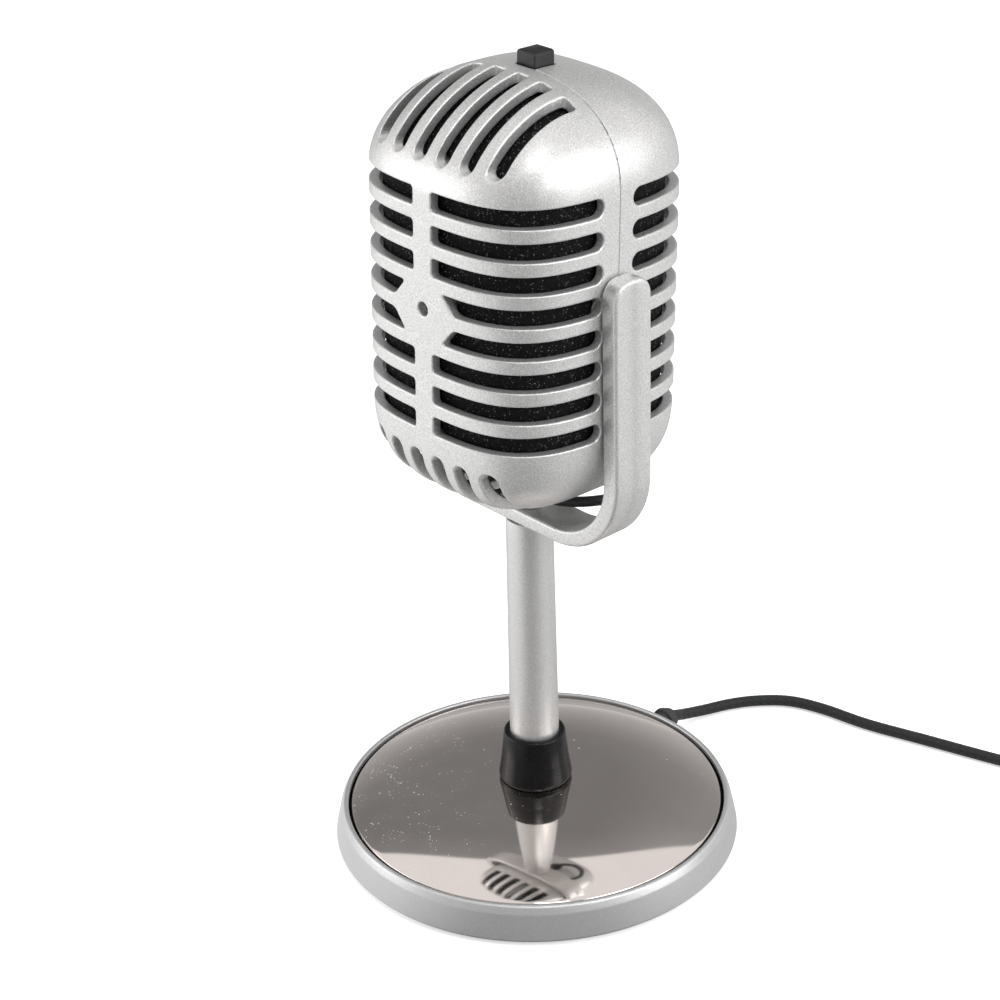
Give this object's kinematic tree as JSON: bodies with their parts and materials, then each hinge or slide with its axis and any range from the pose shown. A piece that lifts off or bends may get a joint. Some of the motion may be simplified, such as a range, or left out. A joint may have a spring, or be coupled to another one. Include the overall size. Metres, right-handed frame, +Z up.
{
  "type": "desktop microphone",
  "caption": "Retro desktop microphone: slotted two-shell head tilting in a U-shaped fork, on a stem and a round weighted base, with braided cable and plug.",
  "frame": {"origin": "middle of the base pad's underside, on the desk, under the stem's axis", "axes": "+Z up along the stem, -Y towards the talker (the front of the head), +X to the right as seen from the front, which is also the way the cable runs"},
  "size_m": [0.1913, 0.1724, 0.18],
  "materials": {
    "satin_head": "satin silver paint with fine metal flake",
    "satin_fork": "satin silver paint with fine metal flake",
    "satin_stem": "satin silver paint with fine metal flake",
    "satin_rim": "satin silver paint with fine metal flake",
    "mirror_plate": "mirror polish",
    "cast_weight": "rough cast",
    "black_cover": "black painted sheet",
    "soft_pad": "dull soft foam rubber",
    "black_rubber": "matte rubber",
    "collar_plastic": "satin black moulding",
    "button_plastic": "satin dark grey moulding",
    "switch_plastic": "matte moulding",
    "plug_plastic": "fine-textured black moulding",
    "plug_metal": "bright nickel plate",
    "black_braid": "woven braid",
    "lead_sheath": "smooth soft sheath",
    "black_foam": "open-cell foam",
    "capsule_metal": "bare can",
    "board_green": "lacquered board",
    "zinc_steel": "bright zinc plate",
    "brass_bush": "turned",
    "white_nylon": "natural nylon"
  },
  "bodies": {
    "base": {"base_housing": "satin_rim", "base_plate": "mirror_plate", "base_weight": "cast_weight", "base_bottom_cover": "black_cover", "base_screw_1": "zinc_steel", "base_screw_2": "zinc_steel", "base_screw_3": "zinc_steel", "base_screw_4": "zinc_steel", "base_pad": "soft_pad", "cable_grommet": "black_rubber", "stem_collar": "collar_plastic", "stem_tube": "satin_stem", "stem_plug": "brass_bush", "lower_nipple": "zinc_steel", "base_washer": "zinc_steel", "base_nut": "zinc_steel", "main_cable": "black_braid", "plug_body": "plug_plastic", "plug_shell": "plug_metal", "plug_insert": "white_nylon"},
    "fork": {"yoke": "satin_fork", "yoke_bolt": "zinc_steel", "yoke_nut": "zinc_steel", "swivel_washer": "white_nylon", "head_lead": "lead_sheath"},
    "head": {"head_front_shell": "satin_head", "head_rear_shell": "satin_head", "front_foam": "black_foam", "rear_foam": "black_foam", "mic_capsule": "capsule_metal", "capsule_boot": "black_rubber", "circuit_board": "board_green", "head_screw_top": "zinc_steel", "head_screw_bottom": "zinc_steel", "pivot_pin_left": "zinc_steel", "pivot_pin_right": "zinc_steel", "pivot_washer_left": "white_nylon", "pivot_washer_right": "white_nylon", "head_grommet": "black_rubber", "switch_body": "switch_plastic"},
    "button": {"button_cap": "button_plastic", "switch_plunger": "white_nylon"}
  },
  "joints": [
    {"name": "yoke_swivel", "type": "hinge", "parent": "base", "child": "fork", "pos_m": [0, 0, 0.0787], "axis": [0, 0, 1], "range_deg": [-90, 90]},
    {"name": "head_tilt", "type": "hinge", "parent": "fork", "child": "head", "pos_m": [0, 0, 0.1332], "axis": [1, 0, 0], "range_deg": [-28, 32], "deforming": ["head_lead"]},
    {"name": "button_press", "type": "slide", "parent": "head", "child": "button", "axis": [0, -0.0349, -0.9994], "range_m": [0, 0.0012], "stiffness_N_per_m": 600}
  ]
}
